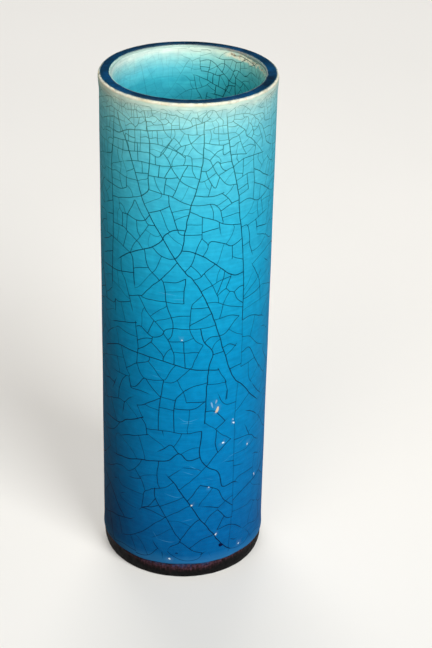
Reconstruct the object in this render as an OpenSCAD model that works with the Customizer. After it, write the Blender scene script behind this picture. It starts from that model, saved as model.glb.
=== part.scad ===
// Straight cylindrical vase with a crackle glaze, a blue band on the lip and a dark, bare foot.
// The clay members are luted together as a potter joins them, and the coats lie on the clay.
// Millimetres, +Z up, origin at the centre of the plane that the foot rests on.

/* [Clay] */
// Overall height, from the resting plane to the top of the lip
height = 263; // [180:1:340]
// Diameter of the body over the outer glaze
body_d = 84; // [64:1:120]
// Thickness of the clay wall
wall_t = 5; // [4:0.1:8]
// Thickness of the clay floor
floor_t = 7; // [5:0.1:12]
// Height of the step round the floor that the wall stands on
step_h = 2; // [1:0.1:4]
// Size of the clay coil pressed into the inside corner
coil_size = 5; // [3:0.1:9]

/* [Lip] */
// How far the lip stands out from the clay wall
lip_flare = 0.9; // [0.3:0.1:2]
// Height of the bare lip on the outside
lip_h = 2.2; // [2.1:0.1:5]
// Width of the bare outer edge of the lip, which is rounded
lip_edge_out = 1; // [0.5:0.1:1.4]
// Width of the bare inner edge of the lip, which is rounded
lip_edge_in = 0.7; // [0.4:0.1:1.4]
// Depth of the channel between the two edges
channel_d = 0.5; // [0.2:0.05:1]
// Height of the band's crown above the two edges
band_crown = 0.3; // [0.1:0.05:0.6]

/* [Glaze] */
// Thickness of the outer glaze
outer_glaze_t = 0.6; // [0.3:0.05:1.2]
// Thickness of the inner glaze
inner_glaze_t = 0.6; // [0.3:0.05:1.2]
// Thickness of both glazes where they run out at the lip
glaze_edge_t = 0.12; // [0.05:0.01:0.25]
// Height over which the glazes thin out below the lip
glaze_fade = 7; // [3:0.5:20]
// Height of the outer glaze's lower edge above the resting plane
glaze_line = 9; // [7:0.1:20]
// How far the thick roll at that lower edge stands out from the body
roll_t = 0.25; // [0:0.05:0.5]
// Height over which the roll runs into the body
roll_h = 5; // [2:0.5:15]

/* [Foot] */
// Height of the foot ring, from the resting plane to the floor's underside
foot_h = 6; // [5:0.1:9]
// Width of the face that the vase rests on
foot_w = 6; // [3:0.1:12]
// How far the foot tucks in below the body
foot_tuck = 1.2; // [0.4:0.1:3]
// Height over which the foot tucks in
tuck_h = 5; // [3:0.1:5]
// How much wider the foot's recess is at the resting plane than at the floor
recess_draft = 1; // [0:0.1:3]
// Thickness of the dark wash on the foot
wash_t = 0.25; // [0.1:0.05:0.5]
// Height of the wash's lower edge above the resting plane
wash_z = 0.6; // [0.3:0.1:2]

/* [Hidden] */
$fn = 96;
arc_steps = 12;

clay_r = body_d / 2 - outer_glaze_t;
bore_r = clay_r - wall_t;
floor_top = foot_h + floor_t;
wall_z = floor_top - step_h;

lip_r = clay_r + lip_flare;
edge_z = height - band_crown;
channel_z = edge_z - channel_d;
band_out_r = lip_r - lip_edge_out;
band_in_r = bore_r + lip_edge_in;
outer_top_z = height - lip_h;
inner_top_z = edge_z - lip_edge_in;

roll_r = outer_glaze_t + roll_t;

coil_centre = [bore_r - coil_size, floor_top + coil_size];
coil_tip = inner_glaze_t / 2;

foot_r = clay_r - foot_tuck;
recess_r = foot_r - foot_w;
tuck_r = (foot_tuck * foot_tuck + tuck_h * tuck_h) / (2 * foot_tuck);
tuck_centre = [clay_r - tuck_r, tuck_h];

// Points on an arc about centre c, from angle a to angle b
function arc(c, r, a, b) = [
    for (i = [0 : arc_steps]) let (t = a + (b - a) * i / arc_steps) c + r * [cos(t), sin(t)]
];

// Points on a soft S from p to q, upright at both ends
function soft_s(p, q) = [
    for (i = [0 : arc_steps]) let (t = i / arc_steps)
        [p.x + (q.x - p.x) * (1 - cos(180 * t)) / 2, p.y + (q.y - p.y) * t]
];

// Points on the low arc that rises by c over the level chord from p inwards to q
function crown(p, q, c) = let (
    half = (p.x - q.x) / 2,
    r = (half * half + c * c) / (2 * c),
    spread = asin(half / r)
) arc([p.x - half, p.y + c - r], r, 90 - spread, 90 + spread);

// Points on the tuck of the foot, from the height low up to the height high, with a coat of thickness t
function foot_side(low, high, t) = arc(
    tuck_centre, tuck_r + t,
    asin((low - tuck_h) / (tuck_r + t)), asin((high - tuck_h) / (tuck_r + t))
);

// The same points in the other order
function reversed(points) = [for (i = [len(points) - 1 : -1 : 0]) points[i]];

module turned(outline) {
    rotate_extrude() polygon(outline);
}

// Clay cylinder with a flared lip, rounded at both edges, and a channel between them
module body_wall() {
    color("#e6d9bd") turned(concat(
        [[bore_r, wall_z], [clay_r, wall_z]],
        soft_s([clay_r, outer_top_z - glaze_fade], [lip_r, outer_top_z]),
        arc([band_out_r, edge_z - lip_edge_out], lip_edge_out, 0, 90),
        [[band_out_r, channel_z], [band_in_r, channel_z]],
        arc([band_in_r, inner_top_z], lip_edge_in, 90, 180)
    ));
}

// Clay slab under the wall, stepped so that the wall stands round its upper part
module floor_disc() {
    color("#dccdb0") turned([
        [0, foot_h], [clay_r, foot_h], [clay_r, wall_z],
        [bore_r, wall_z], [bore_r, floor_top], [0, floor_top],
    ]);
}

// Coil of soft clay smoothed into the corner between the floor and the wall
module seam_coil() {
    color("#d6c6a6") turned(concat(
        [[coil_centre.x, floor_top], [bore_r, floor_top], [bore_r, coil_centre.y]],
        arc(coil_centre, coil_size - coil_tip, 0, -90)
    ));
}

// Turned ring under the floor, tucked in on the outside and hollowed on the inside
module foot_ring() {
    color("#8a6a4f") turned(concat(
        [[recess_r - recess_draft, foot_h], [recess_r, 0]],
        foot_side(0, wash_z, 0),
        foot_side(wash_z, tuck_h, 0),
        [[clay_r, foot_h]]
    ));
}

// Glass coat on the outside, with a thick rolled edge below and a thin one at the lip
module outer_glaze() {
    color("#1f93cf") turned(concat(
        arc([clay_r, glaze_line + roll_r], roll_r, -90, 0),
        soft_s([clay_r + roll_r, glaze_line + roll_r], [body_d / 2, glaze_line + roll_r + roll_h]),
        soft_s([body_d / 2, outer_top_z - glaze_fade], [lip_r + glaze_edge_t, outer_top_z]),
        soft_s([lip_r, outer_top_z], [clay_r, outer_top_z - glaze_fade])
    ));
}

// Glass coat on the inside of the wall, over the coil and across the floor
module inner_glaze() {
    color("#4fb9cc") turned(concat(
        [[0, floor_top], [coil_centre.x, floor_top]],
        arc(coil_centre, coil_size - coil_tip, -90, 0),
        [[bore_r, coil_centre.y], [bore_r, inner_top_z]],
        soft_s([bore_r - glaze_edge_t, inner_top_z], [bore_r - inner_glaze_t, inner_top_z - glaze_fade]),
        arc(coil_centre, coil_size - inner_glaze_t, 0, -90),
        [[0, floor_top + inner_glaze_t]]
    ));
}

// Band of dark blue glaze that fills the channel on the lip and crowns above it
module rim_band() {
    color("#0b2f57") turned(concat(
        [[band_in_r, channel_z], [band_out_r, channel_z]],
        crown([band_out_r, edge_z], [band_in_r, edge_z], band_crown)
    ));
}

// Thin dark coat on the bare outside of the foot, below the glaze
module foot_wash() {
    color("#3a2526") turned(concat(
        foot_side(wash_z, tuck_h, wash_t),
        [[clay_r + wash_t, glaze_line], [clay_r, glaze_line]],
        reversed(foot_side(wash_z, tuck_h, 0))
    ));
}

body_wall();
floor_disc();
seam_coil();
foot_ring();
outer_glaze();
inner_glaze();
rim_band();
foot_wash();
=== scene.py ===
"""A straight cylindrical vase: crackle glaze over clay, a dark blue band on the lip and a bare, dark foot.

Sizes are in millimetres until they are written to a mesh. An angle on the wall is 0 at the front (-Y) and
grows towards +X.
"""

import math

import bpy
import numpy as np
from mathutils import Matrix, Vector
from mathutils.geometry import delaunay_2d_cdt
from mathutils.kdtree import KDTree


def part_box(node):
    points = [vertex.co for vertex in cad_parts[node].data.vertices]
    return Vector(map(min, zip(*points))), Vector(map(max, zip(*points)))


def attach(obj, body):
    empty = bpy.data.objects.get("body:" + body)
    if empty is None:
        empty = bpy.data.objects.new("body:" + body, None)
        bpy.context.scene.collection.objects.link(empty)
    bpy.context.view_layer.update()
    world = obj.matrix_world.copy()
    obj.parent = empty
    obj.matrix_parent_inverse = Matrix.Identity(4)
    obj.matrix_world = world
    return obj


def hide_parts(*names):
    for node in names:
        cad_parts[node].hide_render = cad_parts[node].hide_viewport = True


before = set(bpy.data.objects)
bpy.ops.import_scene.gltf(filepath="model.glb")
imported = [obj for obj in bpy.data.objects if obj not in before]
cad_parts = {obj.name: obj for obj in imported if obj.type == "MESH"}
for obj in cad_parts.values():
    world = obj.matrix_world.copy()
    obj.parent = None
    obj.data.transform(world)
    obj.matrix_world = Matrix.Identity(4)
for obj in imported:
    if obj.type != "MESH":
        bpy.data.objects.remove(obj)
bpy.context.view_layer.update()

MM = 0.001


def reach(node):
    """A node's outer radius, lowest height and highest height, in mm."""
    low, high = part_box(node)
    return high.x / MM, low.z / MM, high.z / MM


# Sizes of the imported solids
CLAY_R, FOOT_H, FLOOR_TOP = reach("floor_disc")
LIP_R, WALL_Z, EDGE_Z = reach("body_wall")
GLAZE_LIP_R, GLAZE_LINE, OUTER_TOP = reach("outer_glaze")
BORE_R, _, INNER_TOP = reach("inner_glaze")
BAND_OUT_R, CHANNEL_Z, HEIGHT = reach("rim_band")
COIL_SIZE = reach("seam_coil")[2] - FLOOR_TOP
WASH_R, WASH_Z, _ = reach("foot_wash")
LIP_EDGE_OUT = LIP_R - BAND_OUT_R
LIP_EDGE_IN = EDGE_Z - INNER_TOP
BAND_IN_R = BORE_R + LIP_EDGE_IN

# Sizes that the boxes of the solids don't give
GLAZE_T = 0.6
GLAZE_EDGE_T = 0.12
GLAZE_FADE = 7
ROLL_T = 0.25
ROLL_H = 5
TUCK_H = 5
FOOT_TUCK = 1.2
FOOT_W = 6
RECESS_DRAFT = 1

BODY_R = CLAY_R + GLAZE_T
INSIDE_R = BORE_R - GLAZE_T
ROLL_R = GLAZE_T + ROLL_T
ROLL_TOP = GLAZE_LINE + ROLL_R
COIL_R = BORE_R - COIL_SIZE
COIL_Z = FLOOR_TOP + COIL_SIZE

# Small forms that only the dressed pieces have
FEATHER_SINK = 0.1
FEATHER_H = 0.7
WAVE_H = 12
WASH_LAP = 0.6
WASH_SINK = 0.05
WASH_RINGS = 6.5, 8
BAND_EDGE_SINK = 0.05
BAND_STEPS = 17
BAND_FLAT = 4
BAND_THIN_FROM = 0.72
BAND_THIN_SPAN = 0.3
FOOT_ROUND_IN = 0.6
FOOT_ROUND_OUT = 0.4
FOOT_ROUGH = 0.03

# How finely the pieces are divided, and which corners of the glazes count as one
COLUMNS = 240
FINE_COLUMNS = 480
ROW_H = 4
CHIP_SIDES = 12
MERGE = 0.003
SEAM_TOUCH = 0.005
SEAM_PAIR = 0.05
ON_EDGE = 1e-4
SHARP_ANGLE = 50

# Where the glazes lie in the bake layout, as shares of its width and height
SHEET_U = 0.95
SHEET_V = 0.02
SHEET_V_SPAN = 0.96
CRACK_U = 0.957
CRACK_U_SPAN = 0.028
BACK_U = 0.99, 0.998

# Widths of the lines and depths of what is cut into the glaze
WIDE_CRACK = 0.72
PLAIN_CRACK = 0.6
GROWN_CRACK = 0.46
SOFT_CRACK = 1.0
SCRATCH = 0.42
CRACK_DEPTH = 0.05
CHIP_DEPTH = 0.28
CHIP_CORE = 0.55

# How values fall off across a chip and a line
CHIP_RIM = 1.01
CHIP_SLOPE = 0.45
LINE_REACH = 1.4
LINE_MIDDLE = 1.02
FAINT = 0.04

# How cracks run
CRACK_STEP = 1.0
MIN_MOVE = 0.05
EDGE_CLEAR = 1
SNAP = 2.4
CLEAR = 1.2
SEAM_REACH = 2
MARK_REACH = 30
FAR = 99.0
TAPER = 5
TIP_SHARE = 0.35
LIP_SHARE = 0.72
LIP_THIN_FROM = 22
LIP_THIN_TO = 6
SHAKE = 0.22
SHAKE_BLUR = 0.1, 0.2, 0.3, 0.2, 0.1
TINY = 1e-9
TINY_SQUARE = 1e-12

# How long cracks sway, and how the cracks that split a cell turn
SWAY_KEPT = 0.9
SWAY_NOISE = 0.02
SWAY_BACK = 0.008
LONG_LEAVE = 4
SPLIT_STEPS = 70
SPLIT_LEAVE = 2
SPLIT_START = 0.03
SPLIT_KEPT = 0.85
SPLIT_NOISE = 0.025
LAND = 1.1
PULL = 0.35
PULL_LEAVE = 3
PULL_REACH = 3
MOST_SPLITS = 4000
SMALL_ENOUGH = 0.5
LEAST_GAIN = 0.8
CELL_SPREAD = 0.75, 1.25
WIDTH_SPREAD = 0.8, 1.2
GROWN_DARK = 0.45, 0.85
LONG_DARK = 0.8, 1
INNER_DARK = 0.75, 1

# Width of the cells by height, as heights and widths
OUTER_CELLS = (10, 60, 110, 175, 200, 228, 246, 256), (12.5, 11.5, 10.3, 9, 7.6, 5.4, 3.5, 2.7)
INNER_CELLS = (20, 150, 225, 250, 260), (17, 14, 5.6, 3.5, 3)

# Darkness of the cracks round the wall, as degrees and shares
OUTER_STAIN = (0, 360), (1, 1)
# The inner cracks are palest from about 192 to 290 degrees round the wall.
INNER_CRACK_DARKNESS = (0, 90, 162, 192, 290, 360), (0.6, 1, 1, 0.24, 0.28, 0.6)

# Cracks that show at the front, as degrees and mm by turns along each one: wide ones, pale ones, and the rest
LONG_CRACKS = (
    (-51, 252, -48, 248, -42, 240, -37, 231, -33, 222, -30, 215, -25, 207, -21, 202, -15, 195, -8, 186,
     0, 178, 4, 175, 10, 168, 15, 160, 19, 152, 23, 143, 27, 133, 31, 124, 36, 116, 44, 110, 53, 102,
     62, 96),
    (24, 261, 25, 254, 26, 246, 29, 233, 34, 219, 36, 206, 38, 195, 40, 181, 41, 167, 41, 148),
    (11, 252, 10, 240, 9, 231, 6, 221, 3, 213, 1, 207, -1, 199, -2, 192, -4, 188, -7, 185),
    (-70, 124, -57, 129, -49, 131, -34, 131, -16, 130, -6, 128, 4, 126, 13, 125, 24, 125),
    (-54, 252, -55, 238, -57, 225, -56, 206, -56, 190, -57, 176, -58, 160),
    (-28, 256, -25, 246, -24, 237, -25, 226, -25, 219, -30, 215),
    (-13, 65, -6, 59, 0, 52, 6, 45, 12, 37, 18, 31, 25, 23, 31, 17, 35, 12),
    (-52, 177, -39, 184, -28, 188, -22, 190, -16, 194, -14, 197, -8, 200, -1, 200),
    (-39, 184, -37, 181, -36, 172, -35, 165),
    (-3, 190, 4, 189, 12, 186, 19, 182, 27, 177, 34, 174, 41, 174),
    (-60, 65, -50, 66, -39, 68, -30, 70, -17, 71.5, -10, 73, -3, 77, 3, 73, 11, 75),
    (-72, 84, -60, 85, -50, 86, -44, 89.5, -38, 91.7, -29, 95),
    (12, 90, 11, 76, 16, 69, 25, 64, 28, 55, 37, 55, 43, 53),
    (10, 148, 11, 144, 13, 140, 18, 136, 19, 133, 17, 129, 16, 124, 15, 112, 14, 95),
    (-54, 243, -48, 243, -40, 246, -25, 248, -10, 250, 0, 251, 4, 252.4, 9, 253.5, 14, 255.3),
)
SOFT_CRACKS = (
    (41, 149, 41.3, 135, 41, 122), (39, 114, 37, 98, 37, 70, 37, 40, 36, 14),
)
FRONT_CRACKS = (
    # Below the lip
    (-56, 235, -44, 235, -38, 236, -31, 237, -24, 237, -18, 236, -12, 242, -8, 247),
    (-46, 229, -34, 232, -24, 232, -11, 232, -1, 233, 9, 232),
    (-54, 239, -45, 240, -32, 241, -24, 242, -17, 242, -8, 240, -1, 237),
    (-68, 222, -57, 222, -52, 223, -42, 222, -33, 222), (-68, 215, -57, 215, -48, 215, -42, 217),
    (-42, 222, -42, 217), (-56, 209, -44, 211, -30, 215), (-35, 226, -25, 227),
    (-24, 226, -13, 226, -5, 227), (-15.5, 238, -13, 236, -10, 232, -5, 226, 0, 223, 5, 221),
    (-9, 217, -6, 222, -4, 226, 0, 232), (-13, 226, -14, 218), (-21, 225, -19, 221, -16, 218),
    (-10, 232, -14, 226), (-30, 231, -30, 227), (-18, 231, -18, 226), (-35, 246, -35, 241),
    (-31, 247, -31, 237), (-33, 240.5, -33, 232), (-19, 248, -19, 242),
    (-25, 219, -16, 218, -9, 217, -4, 215, 2, 213), (-25, 207, -16, 210, -12, 212),
    (-12, 217, -11, 212, -8, 206, -6, 201), (-8, 205, -3, 207, 1, 208),
    (-41, 203, -37, 209, -35, 212, -31, 207, -25, 201),
    (10, 237, 14, 235, 16, 232, 20, 227, 26, 222, 32, 221), (8, 230, 13, 230, 19, 234, 22, 231, 25, 229),
    (20, 227, 25, 229, 30, 230), (7, 225, 11, 225, 18, 228), (12, 228, 14, 225, 18, 221, 21, 226),
    (11, 244, 21, 242, 27, 242), (22, 242, 23, 237, 28, 238), (16, 236, 19, 239, 22, 240),
    (30, 252, 37, 248, 40, 244, 44, 242, 48, 239), (34, 245, 35, 242, 38, 237, 40, 235),
    (29, 236, 33, 236, 40, 235), (30, 230, 34, 232, 38, 233, 48, 233, 60, 232),
    (24, 255.5, 30, 255.6, 35, 255.4, 40, 254.5, 45, 253, 47.5, 251, 50.3, 249.7, 51, 248, 53, 247, 57, 243,
     60, 237),
    (31, 227, 38, 226), (32, 223, 41, 225, 48, 224), (46, 232, 47, 227, 48, 220, 48, 211),
    (34, 218, 41, 220), (49, 226, 54, 223, 60, 220, 68, 217), (50, 219, 58, 215, 68, 212),
    (35, 211, 43, 212, 53, 209, 68, 210), (5, 218, 16, 217, 24, 218), (23, 219, 27, 215, 30, 212),
    (21, 209, 30, 212, 35, 213), (3, 213, 12, 213, 15, 213, 19, 212, 22, 209, 24, 203),
    (15, 213, 17, 209, 17, 205), (2, 210, 10, 207, 17, 205, 25, 202, 37, 200), (0, 227, 4, 227, 8, 226),
    (0.7, 238.3, 2.5, 237, 3, 235, 3.3, 231, 5, 227), (57, 248, 68, 246),
    (-14.7, 248, -12, 246.5, -10, 245.3, -12, 242.7, -14, 240.7, -16.3, 238.3, -17.5, 236.3),
    (-8.7, 246, -6, 244.3, -4.3, 242.2),
    (-7, 240.2, -4, 242.2, -1.3, 242.8, 2, 243.8, 4.7, 245.2, 8, 247.4, 10.5, 247.5),
    (-12, 242.5, -8.7, 241, -6, 239.3, -3.3, 238.3, -1.3, 237.7),
    (-6.7, 238.7, -8, 236.7, -9, 235, -9, 232.7), (-1.3, 237.5, -1.5, 235, -2, 232.8),
    (2, 243.8, 3.5, 241.8, 5.3, 240.2, 6.7, 239, 9.5, 238.3),
    (-4.5, 249.3, -2, 248.5, 0.3, 248.2, 3.3, 248, 5.7, 248, 7.7, 247.3),
    (-7.7, 250.3, -7.8, 247.5, -8.7, 246), (0.8, 248.2, 0.8, 245.7, 1.5, 243.6), (5.5, 252.5, 5.5, 248),
    (7, 242.5, 10, 242.5), (10.5, 249.5, 13.7, 250, 16.7, 250.8, 19.3, 251.3, 24.7, 251),
    (16.3, 250.5, 16.3, 248.3, 18.5, 247.8, 21.7, 247.3, 25.5, 247.3), (14.5, 249.8, 14.7, 247, 14.3, 244),
    (19.8, 251.2, 19.8, 242.5), (-7.3, 257.3, -5.5, 256.3, -3, 256, -0.7, 255.3, 1.7, 254.3, 3.2, 252.4),
    (-18.3, 259, -16.7, 258, -15, 257.5, -13, 257.7, -10, 257, -7.3, 257.3),
    (14, 255.3, 12, 256.5, 11.7, 258.3, 14, 259.3, 16.3, 259, 18, 257.5, 20, 255, 22, 253.6, 22, 251.2),
    (6, 255.7, 7.3, 254.8, 8.7, 253.5),
    (1.7, 258.6, 3.5, 258.8, 5.5, 258.6, 6, 255.7, 3, 256.3, 1.7, 254.3), (-5.3, 256, -5.3, 251),
    (-22, 255.5, -20, 255, -18, 253.8, -16.3, 252.7, -15.7, 251.3, -15.2, 249.4),
    (-15.5, 252, -13.3, 252.3, -11.7, 253.3, -10.3, 252.7, -9.3, 250.3),
    (-14, 255, -12, 254.2, -11.5, 253.2), (-14, 257.6, -14, 255, -18, 253.8),
    (-43.5, 252, -41.5, 251.5, -40, 250.8, -38.3, 252, -36, 252.7, -33, 253, -30, 253.7, -27.8, 254.5),
    (-39.7, 250.8, -37, 249.3, -34.7, 248.3, -34.5, 247),
    (-34.7, 248.3, -33.3, 249, -32, 250.5, -31.5, 253.2),
    (-27.3, 254.3, -27.2, 252.5, -25, 252.3, -23, 252.6, -21.3, 251.3, -16, 251.8),
    (-26, 252.3, -26, 247.8), (-29, 244, -26.3, 245, -24.6, 244.3, -20, 245.3, -18.6, 245),
    (-40.5, 246, -40, 244, -39.7, 241.5), (-41.3, 240.7, -40.3, 238, -40, 235.8),
    (-44.7, 240.3, -44.7, 235), (-34.7, 241.2, -34.7, 236.8),
    (-42.3, 241, -42.5, 243.5, -38.7, 243, -36, 243.3),
    (-44, 257.7, -41.7, 258.5, -38, 259.3, -34.7, 259.6),
    (-45, 252.3, -45.5, 256, -41, 255.3, -39, 255.7, -36, 256.3, -33.7, 257, -31, 255.7, -29, 257,
     -23, 258),
    (-33.3, 257, -32.6, 253), (-37.5, 252.3, -38, 256), (-53, 256.3, -51, 256.7, -47.5, 256.3, -45.5, 256),
    (-68, 255.5, -62, 257.5, -58, 258.2, -55, 258.2, -53, 256.3),
    (-68, 250.5, -61, 252.5, -56.5, 253.7, -52, 253.3, -48, 253, -45, 252.2),
    (-57, 248.7, -53.5, 249.3, -48, 249), (-50, 253.2, -49, 249, -47.5, 243.8),
    (-68, 240.5, -62, 242.3, -57, 243, -55, 241.7), (-68, 228, -61, 229.7, -57, 231, -56.5, 235),
    (-39, 235.6, -38, 232.7, -37.3, 231.8), (-22.7, 258, -22.5, 255.5),
    (27.3, 243.7, 29, 244.7, 32.5, 245, 35.5, 246.3, 37, 246.8),
    (28, 240.5, 30, 240.5, 32, 241.3, 34.5, 242), (32.5, 236, 32.3, 234, 34, 232.4),
    (37.5, 232.9, 37.5, 224.7), (41, 225, 42.3, 217), (25.5, 250.3, 30, 250, 33, 250.3),
    (36, 255.3, 37, 253.5, 40.5, 253, 41, 249, 39, 245.8),
    (41, 250, 43, 249.5, 44.7, 247.5, 45.5, 245.5, 48.5, 245.8, 51, 247.9),
    (46, 257.7, 50, 256.3, 53, 255.3, 59, 254), (45.5, 254, 50, 252.7, 53, 252.4, 55.5, 251.5, 57, 248),
    (58.5, 245, 62, 243.8, 68, 242.2), (61, 256, 65, 255, 70, 253.6), (44, 242, 46, 244.3, 45.5, 245.5),
    (29.5, 255.6, 29, 252.7, 26, 252.3), (33, 258.5, 34, 255.5), (-1.5, 259.3, -2.5, 257.6, -3, 256),
    (9.5, 259, 9, 256, 8.7, 253.5), (-72, 244, -65, 246.3, -60, 248, -54.5, 249.2),
    (-59.7, 250, -59.5, 243), (-35.6, 256.3, -35.4, 249), (-20, 236.4, -20, 231.5),
    (51.5, 246.5, 54.7, 240.5, 56.5, 237), (47.5, 240, 48, 236.5, 46.5, 233), (35, 215.3, 42.5, 216.8),
    (13.5, 222, 13.5, 218), (37.5, 238.5, 43, 239.2, 48, 237.3), (50, 238.7, 56, 234.5),
    (60, 237, 65, 234.5, 71, 232.5),
    # Upper wall
    (-68, 202, -61, 205, -56, 207), (-66, 198, -56, 200),
    (-56, 196, -46, 196, -40, 194, -33, 191, -29, 188), (-68, 187, -60, 188, -50, 187, -39, 184),
    (-39, 184, -36, 189, -31, 194, -26, 201), (-46, 203, -40, 203, -34, 202, -28, 203, -24, 206),
    (-34, 202, -33, 196, -31, 194), (-46, 203, -46, 196), (-42, 202, -42, 196), (-41, 194, -45, 187),
    (-28, 188, -27, 183, -24, 178, -18, 173), (-37, 176, -30, 178, -25, 179),
    (-72, 169.5, -60, 171, -50, 171.5, -36, 174), (-30, 164, -23, 169, -16, 174, -6, 183),
    (-22, 190, -18, 187, -11, 185, -7, 186), (-40, 161, -31, 163), (-30, 163, -27, 162, -12, 162, -1, 162),
    (-16, 174, -14, 171, -12, 160, -9, 154, -8, 148), (-14, 172, -6, 173, 1, 175),
    (0, 175, -1, 165, -1, 161), (-33, 163, -25, 154, -21, 151, -16, 147),
    (-72, 150.7, -64, 151.7, -56, 152.6, -54, 155), (-57, 155.5, -50, 154.5, -39.5, 157.8),
    (-48, 180, -47, 172, -43.5, 168, -40, 160, -38, 155.5, -36.5, 151), (-9, 154, -3, 155, 3, 155),
    (-6, 201, -3, 198, 10, 198), (10, 207, 10, 196), (10, 199, 19, 200), (10, 196, 14, 192, 12, 187),
    (14, 192, 16, 194, 25, 192, 31, 190, 38, 192), (10, 196, 7, 191, 5, 186, 3, 182, 0, 179),
    (3, 182, 6, 180, 10, 176, 5, 174), (10, 176, 14, 179, 19, 182), (12, 177, 17, 171, 21, 165, 22, 162),
    (10, 168, 14, 169.7, 18, 171, 22, 172.5, 29, 174.3),
    (21, 165, 27, 168, 30, 166, 33, 165, 36, 161, 42, 157), (33, 165, 38, 167, 41, 167),
    (26, 160, 28, 164, 30, 166), (27, 168, 29, 171, 31, 175), (26, 178, 25, 173.5, 22.5, 169, 21, 165.5),
    (15, 162, 22, 161, 30, 158, 41, 155), (11, 166, 7, 163, 4, 160, 3, 149, 5, 144, 8, 141, 12, 139),
    (4, 159, 14, 159), (5, 150, 10, 153, 16, 155), (20, 152, 30, 153, 38, 151),
    (38, 198, 43, 198, 45, 192, 46, 187, 50, 180), (43, 198, 55, 200, 68, 201), (39, 188, 45, 189),
    (51, 199, 52, 196, 53, 191), (55, 195, 60, 194, 68, 192), (47, 178, 53, 171, 58, 164, 60, 151),
    (42, 160, 48, 164, 56, 168, 61, 172.5), (41, 159, 50, 160, 59, 161), (31, 183, 40, 181),
    (-25, 201, -20.5, 201.3), (30.5, 190.3, 31.7, 184), (20.3, 201.6, 22, 198.5, 23.5, 195.5),
    (25, 160.5, 24.7, 157, 23.3, 153), (62, 176, 67, 173.2, 72, 170.7),
    (-72, 174.5, -64, 177.5, -57, 180.5), (-72, 182, -65, 184.5, -58, 187),
    # Middle of the wall
    (-60, 141, -53, 143, -45, 145, -35, 148), (-34, 147.5, -33.6, 139, -33, 134, -34, 125),
    (-68, 130, -62, 135, -53, 140), (-43, 120, -34, 125, -25, 128, -24, 130),
    (-25, 128, -21, 125, -14, 119, -9, 125, -6, 128), (-14, 118, -8, 118, -3, 121, 1, 124, 5, 127),
    (-34, 125, -28, 118, -14, 119), (-39, 110, -34, 112, -28, 118, -24, 115, -17, 109),
    (-60, 115, -50, 115, -40, 116, -43, 120, -48, 130), (-44, 116, -48, 111, -50, 107, -53, 101),
    (-39, 109, -28, 110, -22, 109), (-35, 101, -28, 103, -17, 108), (-28, 103, -23, 102, -17, 101),
    (-14, 119, -15, 113, -17, 104, -18, 92), (-16, 109, -6, 108),
    (1, 114, -3, 111, -6, 108, -7, 100, -7, 90), (-6, 103, 6, 103, 12, 106, 14, 107),
    (-34, 146, -30, 146, -22, 142, -15, 144, -14, 146, -10, 148, 4, 148),
    (-33, 133, -29, 135, -23, 139, -22, 142), (-23, 139, -15, 133, -15, 130), (-15, 131, -12, 135, -9, 137),
    (-25, 144.5, -23, 148, -21, 151), (-14, 145, -11, 141, -9, 137, -7, 134, -7, 128),
    (-8, 148, -9, 144, -11, 141, -1, 141), (-7, 135, 0, 135, 9, 135), (-1, 141, 0, 127),
    (-72, 105, -64, 107, -56, 107), (-72, 93, -60, 97, -50, 100, -45, 99.7, -41, 103, -35, 106),
    (4, 148, 10, 148, 20, 149), (13, 140, 17, 143, 23, 143, 28, 144, 33, 148, 38, 151),
    (18, 136, 20, 139, 24, 141), (19, 133, 26, 134), (26, 136, 31, 137, 38, 136), (12, 139, 9, 135, 5, 127),
    (33, 123, 41, 124), (23, 124, 29, 116), (41, 139, 50, 136, 58, 130, 68, 126),
    (41, 148, 50, 148, 60, 145, 68, 142), (41, 130, 48, 131, 55, 123, 63, 115), (41, 122, 54, 123),
    (22, 112, 28, 104, 38, 103), (30, 106, 33, 111), (0, 107, 14, 107), (0, 114, 6, 116, 16, 118),
    (14, 101, 22, 100, 27, 95), (52, 110, 58, 104, 68, 97), (-33.7, 138, -27, 140.5, -23, 141.5),
    (-54, 155, -54, 146), (-41, 116, -39.5, 110.5), (-60, 102, -56, 107, -52.5, 112.5),
    (-47.5, 91, -46, 97.5, -44.5, 99.7), (-34.5, 102, -31.5, 98.5, -29, 95),
    (-17, 103, -12, 103, -6, 101.7), (-5.5, 119.5, -3, 116, -1, 113.5, 0.5, 110.5, 1.5, 107),
    (-1, 141.3, 6, 143.5), (30.5, 131.5, 33, 133.7, 36, 135), (28.8, 117, 30, 111.5, 29, 106),
    (60, 116, 66, 112, 72, 107.5), (60, 139, 66, 137, 72, 135),
    # Lower wall
    (-72, 75.5, -64, 77, -56, 80.5, -50, 86), (-52, 77.5, -43, 81, -36, 82.7, -26, 85.5),
    (-72, 52.7, -64, 55, -50, 60.6, -42, 60, -37, 62.4, -33, 65.5, -30, 69.5),
    (-20, 76, -14, 79, -9, 82, -6, 80, -3, 77), (-30, 95, -27, 91, -25, 86),
    (-26, 89, -11, 90, 0, 89, 12, 90), (-1.5, 89, -2.7, 86.5, -5, 81.5),
    (-16, 71, -18, 66, -18, 59, -17, 56), (-10, 63, -5, 66, 0, 69), (-20, 55, -14, 56, -6, 60),
    (13, 95, 18, 92, 22, 90, 27, 86, 34, 82), (16, 69, 24, 76, 34, 82), (24, 76, 22, 82, 23, 89),
    (-2.8, 55.5, 0, 57.5, 9, 63.5, 16, 69), (12, 58, 24, 54, 29, 47, 37, 41), (3, 49, 12, 58),
    (11, 45, 19, 44, 25, 42), (37, 65, 48, 63), (45, 96, 56, 91, 62, 87), (46, 88, 53, 81),
    (36, 81, 45, 80, 53, 78.5, 61, 73.5, 66, 71), (-72, 23, -60, 26.7, -50, 28.6, -41, 30.5, -35, 33.6),
    (-50, 18, -40, 20.7, -28, 27, -20, 33, -12, 38, -6, 41, 5, 46),
    (-22.5, 54, -20, 49.5, -17, 45, -12, 38.5, -6, 29.5, -2, 25),
    (-30, 41, -28.8, 46.7, -27.8, 51, -25.5, 54.3), (-30, 41, -25, 43, -20, 48),
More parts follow.
